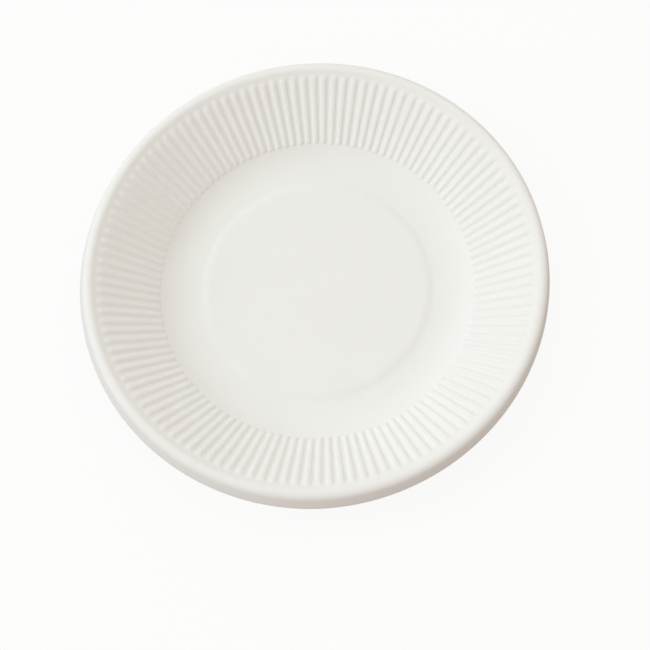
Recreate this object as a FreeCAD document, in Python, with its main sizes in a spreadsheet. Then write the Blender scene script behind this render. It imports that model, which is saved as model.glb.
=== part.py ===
import FreeCAD, Part
import math
import os
import Sketcher

# Paper plate: one sheet of pressed white pulp, drawn up into a fluted wall
# and rolled over at the lip. Millimetres, +Z up. The origin is on the axis
# of the plate, level with the ring that it stands on.

# Driving sizes: alias, value, meaning.
# Widths are measured outwards from the axis on the upper, food side.
SIZES = (
    ("wall", 0.9, "thickness of the sheet"),
    ("panel_diameter", 108.0, "flat top of the raised centre panel"),
    ("panel_rise", 1.0, "height of the centre panel above the foot ring"),
    ("step_width", 6.6, "slope from the panel down to the foot ring"),
    ("foot_width", 2.6, "level ring that the plate stands on"),
    ("corner_radius", 22.1, "bend from the foot ring up into the wall"),
    ("wall_angle", 40.5, "slope of the fluted wall in degrees"),
    ("flute_length", 36.4, "slope from the crease to the upper ends of the flutes"),
    ("flute_start", 0.4, "smooth wall between the crease and the flutes"),
    ("flute_count", 125, "flutes round the wall"),
    ("flute_depth", 0.8, "height of a flute above the grooves"),
    ("flute_crest", 1.2, "width of a flute's top at the crease"),
    ("flute_flank", 0.8, "width of a flute's side at the crease"),
    ("rim_band", 1.0, "smooth wall between the flutes and the lip"),
    ("lip_radius", 4.3, "roll of the lip, on the upper side"),
    ("flange_angle", 75.0, "slope of the turned-down flange in degrees"),
    ("flange_length", 5.0, "straight end of the flange"),
)

# How far a flute reaches into the sheet, and its groove out of the sheet,
# so that each cuts cleanly through the surface that it starts from.
SEAT = 0.25

# The bends are pressed as narrow flats, inscribed in a true arc.
CORNER_FLATS = 3
LIP_FLATS = 5

HORIZONTAL_AXIS = -1
VERTICAL_AXIS = -2
START, END, CENTRE = 1, 2, 3

# Pressing flutes into a sheet hardly alters how much of it there is.
VOLUME_CHANGE = 0.05


def make_size_sheet(doc):
    sheet = doc.addObject("Spreadsheet::Sheet", "Sizes")
    for row, (alias, value, meaning) in enumerate(SIZES, start=1):
        sheet.set("A%d" % row, alias)
        sheet.set("B%d" % row, str(value))
        sheet.set("C%d" % row, meaning)
        sheet.setAlias("B%d" % row, alias)
    doc.recompute()
    return sheet


def origin_feature(body, role):
    for feature in body.Origin.OriginFeatures:
        if feature.Role == role:
            return feature
    raise ValueError("the body has no origin feature " + role)


def size_constraint(sketch, name, expression, kind, *where):
    """Add a dimension, name it and tie it to an expression of the sizes."""
    index = sketch.addConstraint(Sketcher.Constraint(kind, *where))
    sketch.renameConstraint(index, name)
    sketch.setExpression("Constraints." + name, expression)


def measured(sketch, name, kind, *where):
    """Add a reference dimension that other features can read by its name."""
    index = sketch.addConstraint(Sketcher.Constraint(kind, *where))
    sketch.setDriving(index, False)
    sketch.renameConstraint(index, name)


class Chain:
    """Lines and construction arcs drawn one after the other, each on from the last one's end."""

    def __init__(self, sketch, height):
        self.sketch = sketch
        self.point = FreeCAD.Vector(0, height, 0)
        self.heading = 0.0

    def ahead(self, across, up=0.0):
        """A line to a point across and up from here, as the present heading sees it."""
        along = FreeCAD.Vector(math.cos(self.heading), math.sin(self.heading), 0)
        left = FreeCAD.Vector(-along.y, along.x, 0)
        start, self.point = self.point, self.point + along * across + left * up
        return self.sketch.addGeometry(Part.LineSegment(start, self.point), False), START, END

    def arc(self, radius, turn):
        """Turn left for a positive angle and right for a negative one."""
        side = math.copysign(1.0, turn)
        inward = FreeCAD.Vector(-math.sin(self.heading), math.cos(self.heading), 0) * side
        centre = self.point + inward * radius
        first = self.heading - side * math.pi / 2
        last = first + turn
        self.heading += turn
        self.point = centre + FreeCAD.Vector(math.cos(last), math.sin(last), 0) * radius
        circle = Part.Circle(centre, FreeCAD.Vector(0, 0, 1), radius)
        edge = Part.ArcOfCircle(circle, min(first, last), max(first, last))
        ends = (START, END) if turn > 0 else (END, START)
        return (self.sketch.addGeometry(edge, True),) + ends


def draw_side(sketch, size, depth):
    """Draw one face of the sheet from the axis out to the edge, depth below the upper face."""
    wall_angle = math.radians(size.wall_angle)
    flange_angle = math.radians(size.flange_angle)
    chain = Chain(sketch, size.wall + size.panel_rise - depth)
    return {
        "panel": chain.ahead(size.panel_diameter / 2),
        "step": chain.ahead(size.step_width, -size.panel_rise),
        "foot": chain.ahead(size.foot_width),
        "corner": chain.arc(size.corner_radius + depth, wall_angle),
        "wall": chain.ahead(size.flute_length + size.rim_band),
        "lip": chain.arc(size.lip_radius - depth, -wall_angle - flange_angle),
        "flange": chain.ahead(size.flange_length),
    }


def join_side(sketch, side):
    """Corners at the step, and smooth joints from the foot ring outwards."""
    for kind, inner, outer in (
        ("Coincident", "panel", "step"),
        ("Coincident", "step", "foot"),
        ("Tangent", "foot", "corner"),
        ("Tangent", "corner", "wall"),
        ("Tangent", "wall", "lip"),
        ("Tangent", "lip", "flange"),
    ):
        geometry, _, last = side[inner]
        following, first, _ = side[outer]
        sketch.addConstraint(Sketcher.Constraint(kind, geometry, last, following, first))


def draw_flats(sketch, bend, before, after, count):
    """Equal flats inscribed in a bend's arc, from the line before it to the line after it."""
    arc, first, last = bend
    centre = sketch.getPoint(arc, CENTRE)
    start, end = sketch.getPoint(arc, first) - centre, sketch.getPoint(arc, last) - centre
    turn = math.copysign(start.getAngle(end), start.cross(end).z) / count
    steps = [FreeCAD.Rotation(FreeCAD.Vector(0, 0, 1), math.degrees(turn * i))
             for i in range(count + 1)]
    points = [centre + step.multVec(start) for step in steps]
    flats = [sketch.addGeometry(Part.LineSegment(*pair), False) for pair in zip(points, points[1:])]
    sketch.addConstraint(Sketcher.Constraint("Coincident", before[0], before[2], flats[0], START))
    sketch.addConstraint(Sketcher.Constraint("Coincident", flats[-1], END, after[0], after[1]))
    for flat, following in zip(flats, flats[1:]):
        sketch.addConstraint(Sketcher.Constraint("Coincident", flat, END, following, START))
        sketch.addConstraint(Sketcher.Constraint("PointOnObject", flat, END, arc))
        sketch.addConstraint(Sketcher.Constraint("Equal", flat, following))


def close_profile(sketch, size, top, under):
    """Join the two faces at the axis and across the cut edge of the flange."""
    top_axis = sketch.getPoint(top["panel"][0], START)
    under_axis = sketch.getPoint(under["panel"][0], START)
    top_edge = sketch.getPoint(top["flange"][0], END)
    under_edge = sketch.getPoint(under["flange"][0], END)
    axis = sketch.addGeometry(Part.LineSegment(under_axis, top_axis), False)
    edge = sketch.addGeometry(Part.LineSegment(top_edge, under_edge), False)
    for joint in (
        (axis, START, under["panel"][0], START),
        (axis, END, top["panel"][0], START),
        (edge, START, top["flange"][0], END),
        (edge, END, under["flange"][0], END),
    ):
        sketch.addConstraint(Sketcher.Constraint("Coincident", *joint))
    sketch.addConstraint(Sketcher.Constraint("PointOnObject", axis, START, VERTICAL_AXIS))
    sketch.addConstraint(Sketcher.Constraint("Vertical", axis))
    sketch.addConstraint(Sketcher.Constraint("Perpendicular", top["flange"][0], edge))
    size_constraint(sketch, "wall", "Sizes.wall", "DistanceY", axis, START, axis, END, size.wall)


def keep_even_thickness(sketch, top, under):
    """Make the underside follow the upper face at one wall's distance."""
    for name in ("corner", "lip"):
        centres = (under[name][0], CENTRE, top[name][0], CENTRE)
        sketch.addConstraint(Sketcher.Constraint("Coincident", *centres))
    for name in ("step", "wall", "flange"):
        sketch.addConstraint(Sketcher.Constraint("Parallel", under[name][0], top[name][0]))
    for side in (top, under):
        for name in ("panel", "foot"):
            sketch.addConstraint(Sketcher.Constraint("Horizontal", side[name][0]))
    panel_ends = (under["panel"][0], END, top["panel"][0], END)
    sketch.addConstraint(Sketcher.Constraint("Vertical", *panel_ends))


def dimension_profile(sketch, size, top, under):
    panel, step, foot = top["panel"][0], top["step"][0], top["foot"][0]
    corner, wall, lip, flange = (top[name][0] for name in ("corner", "wall", "lip", "flange"))
    slope, fall = math.radians(size.wall_angle), -math.radians(size.flange_angle)
    sketch.addConstraint(
        Sketcher.Constraint("PointOnObject", under["foot"][0], START, HORIZONTAL_AXIS))
    for name, expression, kind, *where in (
        ("panel", "Sizes.panel_diameter / 2", "DistanceX", panel, START, panel, END,
         size.panel_diameter / 2),
        ("step_width", "Sizes.step_width", "DistanceX", step, START, step, END,
         size.step_width),
        ("panel_rise", "Sizes.panel_rise", "DistanceY", step, END, step, START,
         size.panel_rise),
        ("foot_width", "Sizes.foot_width", "DistanceX", foot, START, foot, END,
         size.foot_width),
        ("corner_radius", "Sizes.corner_radius", "Radius", corner, size.corner_radius),
        ("wall_angle", "Sizes.wall_angle * 1 deg", "Angle", wall, slope),
        ("wall_length", "Sizes.flute_length + Sizes.rim_band", "Distance", wall,
         size.flute_length + size.rim_band),
        ("lip_radius", "Sizes.lip_radius", "Radius", lip, size.lip_radius),
        ("flange_angle", "-Sizes.flange_angle * 1 deg", "Angle", flange, fall),
        ("flange_length", "Sizes.flange_length", "Distance", flange, size.flange_length),
    ):
        size_constraint(sketch, name, expression, kind, *where)


def measure_crease(sketch, top):
    """Name the place where the flutes start, on the upper face."""
    wall = top["wall"][0]
    crease = sketch.getPoint(wall, START)
    origin = (HORIZONTAL_AXIS, START, wall, START)
    measured(sketch, "crease_radius", "DistanceX", *origin, crease.x)
    measured(sketch, "crease_height", "DistanceY", *origin, crease.y)


def make_profile(body, size):
    """The plate's half section: a sheet of even thickness from the axis to the edge."""
    sketch = body.newObject("Sketcher::SketchObject", "Profile")
    sketch.AttachmentSupport = [(origin_feature(body, "XZ_Plane"), "")]
    sketch.MapMode = "FlatFace"
    top = draw_side(sketch, size, 0.0)
    under = draw_side(sketch, size, size.wall)
    for side in (top, under):
        join_side(sketch, side)
        draw_flats(sketch, side["corner"], side["foot"], side["wall"], CORNER_FLATS)
        draw_flats(sketch, side["lip"], side["wall"], side["flange"], LIP_FLATS)
    keep_even_thickness(sketch, top, under)
    close_profile(sketch, size, top, under)
    dimension_profile(sketch, size, top, under)
    measure_crease(sketch, top)
    return sketch


def revolve_sheet(body, profile):
    sheet = body.newObject("PartDesign::Revolution", "Sheet")
    sheet.Profile = (profile, [""])
    sheet.ReferenceAxis = (profile, ["V_Axis"])
    sheet.Angle = 360.0
    return sheet


def flute_section(body, name, place, depth):
    """A flute's cross-section a way up the wall from the crease, depth below the upper face.

    The section stands upright, so heights on it are
    upright measures of the sloping wall, and its widths grow with the radius.
    """
    sketch = body.newObject("Sketcher::SketchObject", name)
    sketch.AttachmentSupport = [(origin_feature(body, "YZ_Plane"), "")]
    sketch.MapMode = "FlatFace"
    radius = "(Profile.Constraints.crease_radius + %s * cos(Sizes.wall_angle * 1 deg))" % place
    spread = "(%s / Profile.Constraints.crease_radius)" % radius
    upright = "* 1 mm / cos(Sizes.wall_angle * 1 deg)"
    height = "(Sizes.flute_depth %s)" % upright
    level = ("Profile.Constraints.crease_height + %s * sin(Sizes.wall_angle * 1 deg) - %s %s"
             % (place, depth, upright))
    sketch.setExpression("AttachmentOffset.Base.z", radius)

    half_foot, half_crest, low, high = 2.0, 1.0, 10.0, 11.0
    corners = [FreeCAD.Vector(x, y, 0) for x, y in (
        (-half_foot, low), (half_foot, low), (half_crest, high), (-half_crest, high))]
    edges = [
        sketch.addGeometry(Part.LineSegment(start, end), False)
        for start, end in zip(corners, corners[1:] + corners[:1])
    ]
    foot, _, crest, _ = edges
    for edge, following in zip(edges, edges[1:] + edges[:1]):
        sketch.addConstraint(Sketcher.Constraint("Coincident", edge, END, following, START))
    for edge in (foot, crest):
        sketch.addConstraint(
            Sketcher.Constraint("Symmetric", edge, START, edge, END, VERTICAL_AXIS))
    size_constraint(sketch, "crest", "Sizes.flute_crest * 1 mm * %s" % spread,
                    "DistanceX", crest, END, crest, START, 2 * half_crest)
    size_constraint(sketch, "foot",
                    "(Sizes.flute_crest + 2 * Sizes.flute_flank * (1 + %s mm / %s)) * 1 mm * %s"
                    % (SEAT, height, spread),
                    "DistanceX", foot, START, foot, END, 2 * half_foot)
    size_constraint(sketch, "crest_level", "%s + %s" % (level, height),
                    "DistanceY", HORIZONTAL_AXIS, START, crest, START, high)
    size_constraint(sketch, "foot_level", "%s - %s mm" % (level, SEAT),
                    "DistanceY", HORIZONTAL_AXIS, START, foot, START, low)
    return sketch


def flute_round(body, kind, name, depth):
    """Loft one flute from the crease to the rim and repeat it round the wall."""
    flute = body.newObject("PartDesign::" + kind, name)
    flute.Profile = flute_section(body, name + "AtCrease", "Sizes.flute_start * 1 mm", depth)
    flute.Sections = [flute_section(body, name + "AtRim", "Sizes.flute_length * 1 mm", depth)]
    flute.Ruled = True
    body.Tip = flute
    pattern = body.newObject("PartDesign::PolarPattern", name + "Round")
    pattern.Originals = [flute]
    pattern.Axis = (origin_feature(body, "Z_Axis"), [""])
    pattern.Angle = 360.0
    pattern.setExpression("Occurrences", "Sizes.flute_count")
    body.Tip = pattern
    return pattern


def make_plate(doc, size):
    """The sheet, its raised flutes, and the same flutes pressed in from below."""
    body = doc.addObject("PartDesign::Body", "Plate")
    body.Label = "plate"
    body.Tip = revolve_sheet(body, make_profile(body, size))
    flute_round(body, "AdditiveLoft", "Flute", "0")
    flute_round(body, "SubtractiveLoft", "Groove", "Sizes.wall")
    return body


def check(doc, parts):
    for thing in doc.Objects:
        if "Invalid" in thing.State or "Error" in thing.State:
            raise RuntimeError("%s is not computed: %s" % (thing.Name, thing.State))
    for part in parts:
        if part.Shape.isNull() or not part.Shape.isValid():
            raise RuntimeError("%s has no sound shape" % part.Label)
        if len(part.Shape.Solids) != 1:
            raise RuntimeError("%s is not one solid" % part.Label)
    flat = doc.getObject("Sheet").Shape.Volume
    fluted = parts[0].Shape.Volume
    if abs(fluted - flat) > VOLUME_CHANGE * flat:
        raise RuntimeError("the flutes changed the sheet from %.0f to %.0f mm3" % (flat, fluted))


def main():
    doc = FreeCAD.newDocument("PaperPlate")
    size = make_size_sheet(doc)
    parts = [make_plate(doc, size)]
    doc.recompute()
    check(doc, parts)
    os.makedirs("parts", exist_ok=True)
    for part in parts:
        part.Shape.exportStep(os.path.join("parts", part.Label + ".step"))
        box = part.Shape.BoundBox
        print("%s: %.1f x %.1f x %.1f mm, %d solid, %d faces, %.0f mm3" % (
            part.Label, box.XLength, box.YLength, box.ZLength,
            len(part.Shape.Solids), len(part.Shape.Faces), part.Shape.Volume))


main()
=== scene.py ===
import math
import random

import bmesh
import bpy
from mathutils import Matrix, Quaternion, Vector


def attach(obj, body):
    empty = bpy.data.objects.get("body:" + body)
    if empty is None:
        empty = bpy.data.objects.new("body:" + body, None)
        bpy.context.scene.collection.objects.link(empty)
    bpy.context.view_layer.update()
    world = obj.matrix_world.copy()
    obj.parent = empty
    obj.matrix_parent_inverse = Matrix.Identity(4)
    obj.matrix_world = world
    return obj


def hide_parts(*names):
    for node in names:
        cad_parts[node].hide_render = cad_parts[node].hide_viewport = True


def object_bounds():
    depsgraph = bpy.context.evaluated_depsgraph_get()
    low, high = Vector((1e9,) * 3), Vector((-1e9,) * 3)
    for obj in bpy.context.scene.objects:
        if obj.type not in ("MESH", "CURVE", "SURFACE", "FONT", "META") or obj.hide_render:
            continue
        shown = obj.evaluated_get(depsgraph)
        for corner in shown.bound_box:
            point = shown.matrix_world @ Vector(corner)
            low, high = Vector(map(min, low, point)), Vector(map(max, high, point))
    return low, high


# A white disposable plate of pressed pulp: a low raised panel, a bend up into
# a wall of fine straight flutes, and a lip that rolls over into a flange.

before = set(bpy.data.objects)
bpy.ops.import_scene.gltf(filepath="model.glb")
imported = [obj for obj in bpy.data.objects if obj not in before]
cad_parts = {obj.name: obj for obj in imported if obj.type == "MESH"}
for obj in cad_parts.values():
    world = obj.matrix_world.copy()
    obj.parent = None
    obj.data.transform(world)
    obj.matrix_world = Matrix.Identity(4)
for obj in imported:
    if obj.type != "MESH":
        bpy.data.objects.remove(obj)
CAD_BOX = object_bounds()

MM = 0.001

# Sizes of the sheet, measured on its upper, food side. The step and the lip are
# drawn as softly or as tightly pressed as they look, within the solid's outer size.
WALL = 0.9 * MM
PANEL_RADIUS = 53.2 * MM
PANEL_RISE = 1.25 * MM
STEP_WIDTH = 6.8 * MM
FOOT_WIDTH = 3.2 * MM
CORNER_RADIUS = 22.1 * MM
WALL_ANGLE = math.radians(40.5)
RIM_BAND = 0.96 * MM
LIP_RADIUS = 3.4 * MM
FLANGE_ANGLE = math.radians(66.0)
FLANGE_LENGTH = 6.6 * MM
CUT_ROUNDING = 0.3 * MM

# Flutes. Their widths are angles, so they widen evenly from the crease to the rim.
FLUTE_COUNT = 125
FLUTE_LENGTH = 36.4 * MM
FLUTE_DEPTH = 0.8 * MM
CREST_HALF = 0.155
FLANK = 0.208
FLANK_SOFTNESS = 0.045
LOWER_END = 1.1 * MM
UPPER_END = 3.4 * MM
COLUMNS = (-0.5, -0.38, -0.31, -0.25, -0.19, -0.11, 0.0, 0.11, 0.19, 0.25, 0.31, 0.38)
FLUTED_ROWS = (-0.4, 0.0, 0.35, 0.7, 1.1, 1.6, 5.0, 11.0, 18.0, 25.0, 31.0,
               33.0, 33.9, 34.8, 35.6, 36.4, 36.9)

# On one side the flange leans in, as it does on a handled plate: how far, and
# the direction from +X in which it leans in most.
FLANGE_LEAN = 1.6 * MM
LEAN_TOWARDS = math.radians(-8.0)

# How much one flute differs from the next.
DEPTH_SPREAD = 0.05
AIM_SPREAD = 0.012
END_SPREAD = 0.25 * MM

SMOOTH_COLUMNS = 2 * FLUTE_COUNT
PANEL_RINGS = ((6.0, 25), (16.0, 125), (26.0, 250), (36.0, 250), (45.0, 250))

# The view: almost overhead, tipped back a little and turned on the picture.
PICTURE = 650
SENSOR = 36.0
FOCAL_PIXELS = 1108.8
EYE = Vector((0.0, -194.2, 521.7)) * MM
AIM = Vector((0.9, -29.5, 29.8)) * MM
ROLL = math.radians(-9.62)


def smooth(low, high, value):
    """0 below low, 1 above high, and an even curve between them."""
    share = min(1.0, max(0.0, (value - low) / (high - low)))
    return share * share * (3.0 - 2.0 * share)


class Station:
    """A place on the upper face's section: where it is, its heading and how far up the wall."""

    def __init__(self, radius, height, heading, along=None):
        self.radius = radius
        self.height = height
        self.heading = heading
        self.along = along

    def raised(self, lift):
        """Radius and height of the point that stands lift above the upper face here."""
        return (self.radius - math.sin(self.heading) * lift,
                self.height + math.cos(self.heading) * lift)

    def ahead(self, distance, along=None):
        return Station(self.radius + math.cos(self.heading) * distance,
                       self.height + math.sin(self.heading) * distance,
                       self.heading, along)

    def turned(self, radius, angle):
        """The station after an arc, to the left for a positive angle."""
        side = math.copysign(radius, angle)
        centre_radius = self.radius - math.sin(self.heading) * side
        centre_height = self.height + math.cos(self.heading) * side
        heading = self.heading + angle
        return Station(centre_radius + math.sin(heading) * side,
                       centre_height - math.cos(heading) * side, heading)

    def arc(self, radius, angle, steps):
        return [self.turned(radius, angle * step / steps) for step in range(1, steps + 1)]


def section():
    """Stations from the edge of the panel out to the end of the flange."""
    step_radius = (STEP_WIDTH ** 2 + PANEL_RISE ** 2) / (4 * PANEL_RISE)
    step_turn = 2 * math.atan2(PANEL_RISE, STEP_WIDTH)
    stations = [Station(PANEL_RADIUS, WALL + PANEL_RISE, 0.0)]
    stations += stations[-1].arc(step_radius, -step_turn, 5)
    stations += stations[-1].arc(step_radius, step_turn, 5)
    stations.append(stations[-1].ahead(FOOT_WIDTH))
    stations += stations[-1].arc(CORNER_RADIUS, WALL_ANGLE, 9)
    crease = stations.pop()
    stations += [crease.ahead(row * MM, row * MM) for row in FLUTED_ROWS]
    rim = crease.ahead(FLUTE_LENGTH + RIM_BAND)
    lip = [rim] + rim.arc(LIP_RADIUS, -WALL_ANGLE - FLANGE_ANGLE, 14)
    stations += lip
    reach = FLANGE_LENGTH - CUT_ROUNDING
    stations += [lip[-1].ahead(reach * share) for share in (0.35, 0.7, 1.0)]
    return stations


class Flute:
    """One flute, a little unlike its neighbours."""

    def __init__(self, dice):
        self.depth = FLUTE_DEPTH * (1.0 - abs(dice.gauss(0.0, DEPTH_SPREAD)))
        self.aim = dice.gauss(0.0, AIM_SPREAD)
        self.start = dice.uniform(0.0, END_SPREAD)
        self.end = FLUTE_LENGTH - dice.uniform(0.0, END_SPREAD)

    def lift(self, across, along):
        """How far the sheet is pushed up, across in flute pitches from the crest's middle."""
        away = abs(across - self.aim)
        flank = smooth(CREST_HALF - FLANK_SOFTNESS, CREST_HALF + FLANK + FLANK_SOFTNESS, away)
        foot = smooth(self.start, self.start + LOWER_END, along)
        head = 1.0 - smooth(self.end - UPPER_END, self.end, along)
        return self.depth * (1.0 - flank) * foot * head


class Sheet:
    """Rings of points round the axis, joined into a skin."""

    def __init__(self, stations):
        self.mesh = bmesh.new()
        self.stations = stations
        self.lip = max(stations, key=lambda station: station.height).radius
        dice = random.Random(7)
        self.flutes = [Flute(dice) for _ in range(FLUTE_COUNT)]

    def point(self, angle, radius, height):
        crest = CAD_BOX[1][2]
        fall = smooth(0.0, LIP_RADIUS + FLANGE_LENGTH, crest - height) if radius > self.lip else 0.0
        facing = max(0.0, math.cos(angle - LEAN_TOWARDS))
        radius -= FLANGE_LEAN * fall * facing
        return self.mesh.verts.new((radius * math.cos(angle), radius * math.sin(angle), height))

    def plain_ring(self, count, radius, height):
        """A smooth ring. Its first point is in the groove before the first flute."""
        first = -math.pi / FLUTE_COUNT
        return [self.point(first + 2 * math.pi * i / count, radius, height) for i in range(count)]

    def fluted_ring(self, station, depth):
        ring = []
        for number, flute in enumerate(self.flutes):
            for across in COLUMNS:
                angle = 2 * math.pi * (number + across) / FLUTE_COUNT
                lift = flute.lift(across, station.along)
                ring.append(self.point(angle, *station.raised(lift - depth)))
        return ring

    def ring(self, station, depth):
        if station.along is None:
            return self.plain_ring(SMOOTH_COLUMNS, *station.raised(-depth))
        return self.fluted_ring(station, depth)

    def join(self, inner, outer):
        """Faces between two rings; the count of one is a whole multiple of the other's."""
        count = min(len(inner), len(outer))
        for i in range(count):
            face = self.stretch(outer, i, count) + self.stretch(inner, i, count)[::-1]
            self.mesh.faces.new(face)

    @staticmethod
    def stretch(ring, number, count):
        """The points of one of count equal stretches of a ring, with both its ends."""
        step = len(ring) // count
        return [ring[(number * step + i) % len(ring)] for i in range(step + 1)]

    def face(self, stations, depth):
        """The rings of the upper face, or of the underside when depth is the sheet's."""
        level = stations[0].raised(-depth)[1]
        rings = [self.plain_ring(count, radius * MM, level) for radius, count in PANEL_RINGS]
        rings += [self.ring(station, depth) for station in stations]
        hub = self.point(0.0, 0.0, level)
        return hub, rings

    def cut_edge(self, end):
        """Rings round the rounded edge, from the upper face to the underside."""
        rings = []
        for centre, angles in ((CUT_ROUNDING, (30, 60, 90)), (WALL - CUT_ROUNDING, (90, 120, 150))):
            for angle in map(math.radians, angles):
                place = end.ahead(CUT_ROUNDING * math.sin(angle))
                lift = CUT_ROUNDING * math.cos(angle) - centre
                rings.append(self.plain_ring(SMOOTH_COLUMNS, *place.raised(lift)))
        return rings

    def build(self):
        stations = self.stations
        top_hub, top = self.face(stations, 0.0)
        under_hub, under = self.face(stations, WALL)
        rings = top + self.cut_edge(stations[-1]) + under[::-1]
        for inner, outer in zip(rings, rings[1:]):
            self.join(inner, outer)
        self.fan(top_hub, top[0])
        self.fan(under_hub, under[0][::-1])

    def fan(self, hub, ring):
        for start, end in zip(ring, ring[1:] + ring[:1]):
            self.mesh.faces.new((hub, start, end))

    def finished(self, name):
        bmesh.ops.recalc_face_normals(self.mesh, faces=self.mesh.faces)
        data = bpy.data.meshes.new(name)
        self.mesh.to_mesh(data)
        self.mesh.free()
        data.shade_smooth()
        piece = bpy.data.objects.new(name, data)
        bpy.context.scene.collection.objects.link(piece)
        return piece


class Value:
    """A node's output that can be used in sums."""

    def __init__(self, nodes, socket):
        self.nodes = nodes
        self.socket = socket

    def maths(self, operation, *values):
        settings = {"operation": operation}
        return self.nodes.add("ShaderNodeMath", settings, dict(enumerate(values)))

    def __add__(self, other):
        return self.maths("ADD", self, other)

    def __sub__(self, other):
        return self.maths("SUBTRACT", self, other)

    def __rsub__(self, other):
        return self.maths("SUBTRACT", other, self)

    def __mul__(self, other):
        return self.maths("MULTIPLY", self, other)

    def __truediv__(self, other):
        return self.maths("DIVIDE", self, other)

    def __pow__(self, other):
        return self.maths("POWER", self, other)

    __radd__ = __add__
    __rmul__ = __mul__

    def larger(self, other):
        return self.maths("MAXIMUM", self, other)

    def clamped(self):
        settings = {"operation": "ADD", "use_clamp": True}
        return self.nodes.add("ShaderNodeMath", settings, {0: self, 1: 0.0})


class Nodes:
    """The node tree of a material or of the world, emptied and built up node by node."""

    def __init__(self, owner):
        owner.use_nodes = True
        self.tree = owner.node_tree
        self.tree.nodes.clear()

    def add(self, kind, settings=None, sockets=None, output=0):
        """Add a node, set it up, fill its sockets with values or links, and give one output."""
        node = self.tree.nodes.new(kind)
        for name, value in (settings or {}).items():
            setattr(node, name, value)
        for name, value in (sockets or {}).items():
            if isinstance(value, Value):
                self.tree.links.new(value.socket, node.inputs[name])
            else:
                node.inputs[name].default_value = value
        return Value(self, node.outputs[output]) if node.outputs else None

    def noise(self, place, scale, detail=2.0, roughness=0.5):
        return self.add("ShaderNodeTexNoise", {"noise_dimensions": "3D"}, {
            "Vector": place, "Scale": scale, "Detail": detail, "Roughness": roughness})

    def blend(self, share, first, second):
        """A colour between two, by a share from 0 to 1."""
        return self.add("ShaderNodeMix", {"data_type": "RGBA"}, {
            "Factor": share, 6: first, 7: second}, output=2)

    def streaks(self, place, turn, length, width):
        """Short fibres that lie one way, as a mask from 0 to 1."""
        laid = self.add("ShaderNodeMapping", {}, {
            "Vector": place, "Rotation": turn, "Scale": (1 / length, 1 / width, 1 / width)})
        return ((self.noise(laid, 1.0, 1.0) - 0.6) * 7.0).clamped()


PULP = (0.868, 0.866, 0.842, 1.0)
PULP_THIN = (0.845, 0.838, 0.808, 1.0)
FIBRE = (0.800, 0.786, 0.742, 1.0)
FIBRE_LENGTH = 4.5 * MM
FIBRE_WIDTH = 0.35 * MM
FIBRE_TURNS = ((0.2, 0.0, 0.4), (0.0, 0.3, 1.5), (0.3, 0.1, 2.6))
FIBRE_SHARE = 0.16
RELIEF_HEIGHT = 0.05 * MM


def pulp_material():
    """Matt white pulp: a cloudy tone, short fibres pressed flat and a fine grain."""
    material = bpy.data.materials.new("pressed_pulp")
    nodes = Nodes(material)
    place = nodes.add("ShaderNodeTexCoord", output="Object")
    cloud = nodes.noise(place, 38.0, 3.0, 0.5)
    grain = nodes.noise(place, 1400.0, 3.0, 0.6)
    fibres = nodes.streaks(place, FIBRE_TURNS[0], FIBRE_LENGTH, FIBRE_WIDTH)
    for turn in FIBRE_TURNS[1:]:
        fibres = fibres.larger(nodes.streaks(place, turn, FIBRE_LENGTH, FIBRE_WIDTH))
    thin = ((cloud - 0.5) * 0.9 + (grain - 0.5) * 0.9 + 0.35).clamped()
    tone = nodes.blend(thin, PULP, PULP_THIN)
    colour = nodes.blend(fibres * FIBRE_SHARE, tone, FIBRE)
    relief = grain * 0.55 + fibres * 0.3 + cloud * 0.2
    normal = nodes.add("ShaderNodeBump", {}, {
        "Strength": 0.55, "Distance": RELIEF_HEIGHT, "Height": relief})
    skin = nodes.add("ShaderNodeBsdfPrincipled", {}, {
        "Base Color": colour, "Roughness": 0.74 + grain * 0.16, "Normal": normal,
        "Specular IOR Level": 0.35})
    nodes.add("ShaderNodeOutputMaterial", {}, {"Surface": skin})
    return material


def seen_directly(nodes):
    """1 for rays that show the background itself, 0 for the light that it gives."""
    camera = nodes.add("ShaderNodeLightPath", output="Is Camera Ray")
    glossy = nodes.add("ShaderNodeLightPath", output="Is Glossy Ray")
    through = nodes.add("ShaderNodeLightPath", output="Is Transmission Ray")
    return camera.larger(glossy).larger(through)


SHADOW_SHARE = 0.14

# The floor lies just clear of the foot ring, so that the two never share a surface.
FLOOR_GAP = 0.2 * MM
FLOOR_HALF = 3.0


def floor_material():
    """White paper sweep: it shows white with a faint shadow, and bounces soft light."""
    material = bpy.data.materials.new("white_sweep")
    nodes = Nodes(material)
    paper = nodes.add("ShaderNodeBsdfDiffuse", {}, {"Color": (0.5, 0.49, 0.45, 1.0)})
    white = nodes.add("ShaderNodeEmission", {}, {"Color": (1.0, 1.0, 1.0, 1.0), "Strength": 1.06})
    share = seen_directly(nodes) * (1.0 - SHADOW_SHARE)
    surface = nodes.add("ShaderNodeMixShader", {}, {0: share, 1: paper, 2: white})
    nodes.add("ShaderNodeOutputMaterial", {}, {"Surface": surface})
    return material


def lay_floor():
    mesh = bmesh.new()
    bmesh.ops.create_grid(mesh, x_segments=1, y_segments=1, size=FLOOR_HALF)
    data = bpy.data.meshes.new("floor")
    mesh.to_mesh(data)
    mesh.free()
    floor = bpy.data.objects.new("floor", data)
    floor.location.z = -FLOOR_GAP
    floor.data.materials.append(floor_material())
    bpy.context.scene.collection.objects.link(floor)


WORLD_LEVEL = 0.635
WORLD_TINT = (1.0, 0.835, 0.775)

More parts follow.
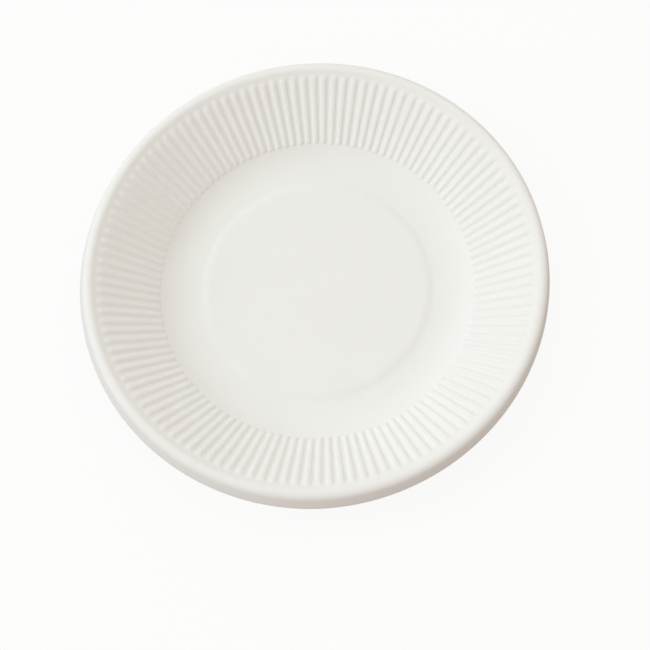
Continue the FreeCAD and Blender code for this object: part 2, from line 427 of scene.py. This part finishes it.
# Soft lamps: name, azimuth from +X, elevation, width across, level and tint.
# A level is the brightness that the lamp alone gives to white that faces it.
LAMPS = (
    ("window", 180.0, 35.0, 0.9, 0.325, (0.77, 0.88, 1.0)),
    ("ceiling", 120.0, 80.0, 1.4, 0.275, (0.67, 1.0, 0.96)),
    ("far_wall", 90.0, 30.0, 1.2, 0.145, (0.83, 0.89, 1.0)),
)
LAMP_DISTANCE = 1.6


def hang_lamp(name, azimuth, elevation, width, level, tint):
    """A square soft lamp that faces the plate."""
    turn, rise = math.radians(azimuth), math.radians(elevation)
    way = Vector((math.cos(turn) * math.cos(rise), math.sin(turn) * math.cos(rise),
                  math.sin(rise)))
    data = bpy.data.lights.new(name, "AREA")
    data.size = width
    data.energy = level * (math.pi * LAMP_DISTANCE) ** 2
    data.color = tint
    lamp = bpy.data.objects.new(name, data)
    lamp.location = way * LAMP_DISTANCE
    lamp.rotation_mode = "QUATERNION"
    lamp.rotation_quaternion = way.to_track_quat("Z", "Y")
    bpy.context.scene.collection.objects.link(lamp)


def light_world():
    world = bpy.data.worlds.new("studio")
    bpy.context.scene.world = world
    nodes = Nodes(world)
    white = nodes.add("ShaderNodeBackground", {}, {"Color": (1.0, 1.0, 1.0, 1.0), "Strength": 1.0})
    room = nodes.add("ShaderNodeBackground", {}, {
        "Color": (*WORLD_TINT, 1.0), "Strength": WORLD_LEVEL})
    surface = nodes.add("ShaderNodeMixShader", {}, {0: seen_directly(nodes), 1: room, 2: white})
    nodes.add("ShaderNodeOutputWorld", {}, {"Surface": surface})


def place_camera():
    data = bpy.data.cameras.new("camera")
    data.sensor_width = SENSOR
    data.lens = FOCAL_PIXELS / PICTURE * SENSOR
    data.clip_start = 0.01
    camera = bpy.data.objects.new("camera", data)
    camera.location = EYE
    camera.rotation_mode = "QUATERNION"
    level = (EYE - AIM).to_track_quat("Z", "Y")
    camera.rotation_quaternion = level @ Quaternion((0.0, 0.0, 1.0), ROLL)
    bpy.context.scene.collection.objects.link(camera)
    bpy.context.scene.camera = camera


def make_plate():
    sheet = Sheet(section())
    sheet.build()
    plate = sheet.finished("plate_sheet")
    plate.data.materials.append(pulp_material())
    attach(plate, "root")
    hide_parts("plate")
    return plate


make_plate()
lay_floor()
light_world()
for lamp in LAMPS:
    hang_lamp(*lamp)
place_camera()
bpy.context.scene.view_settings.view_transform = "Standard"
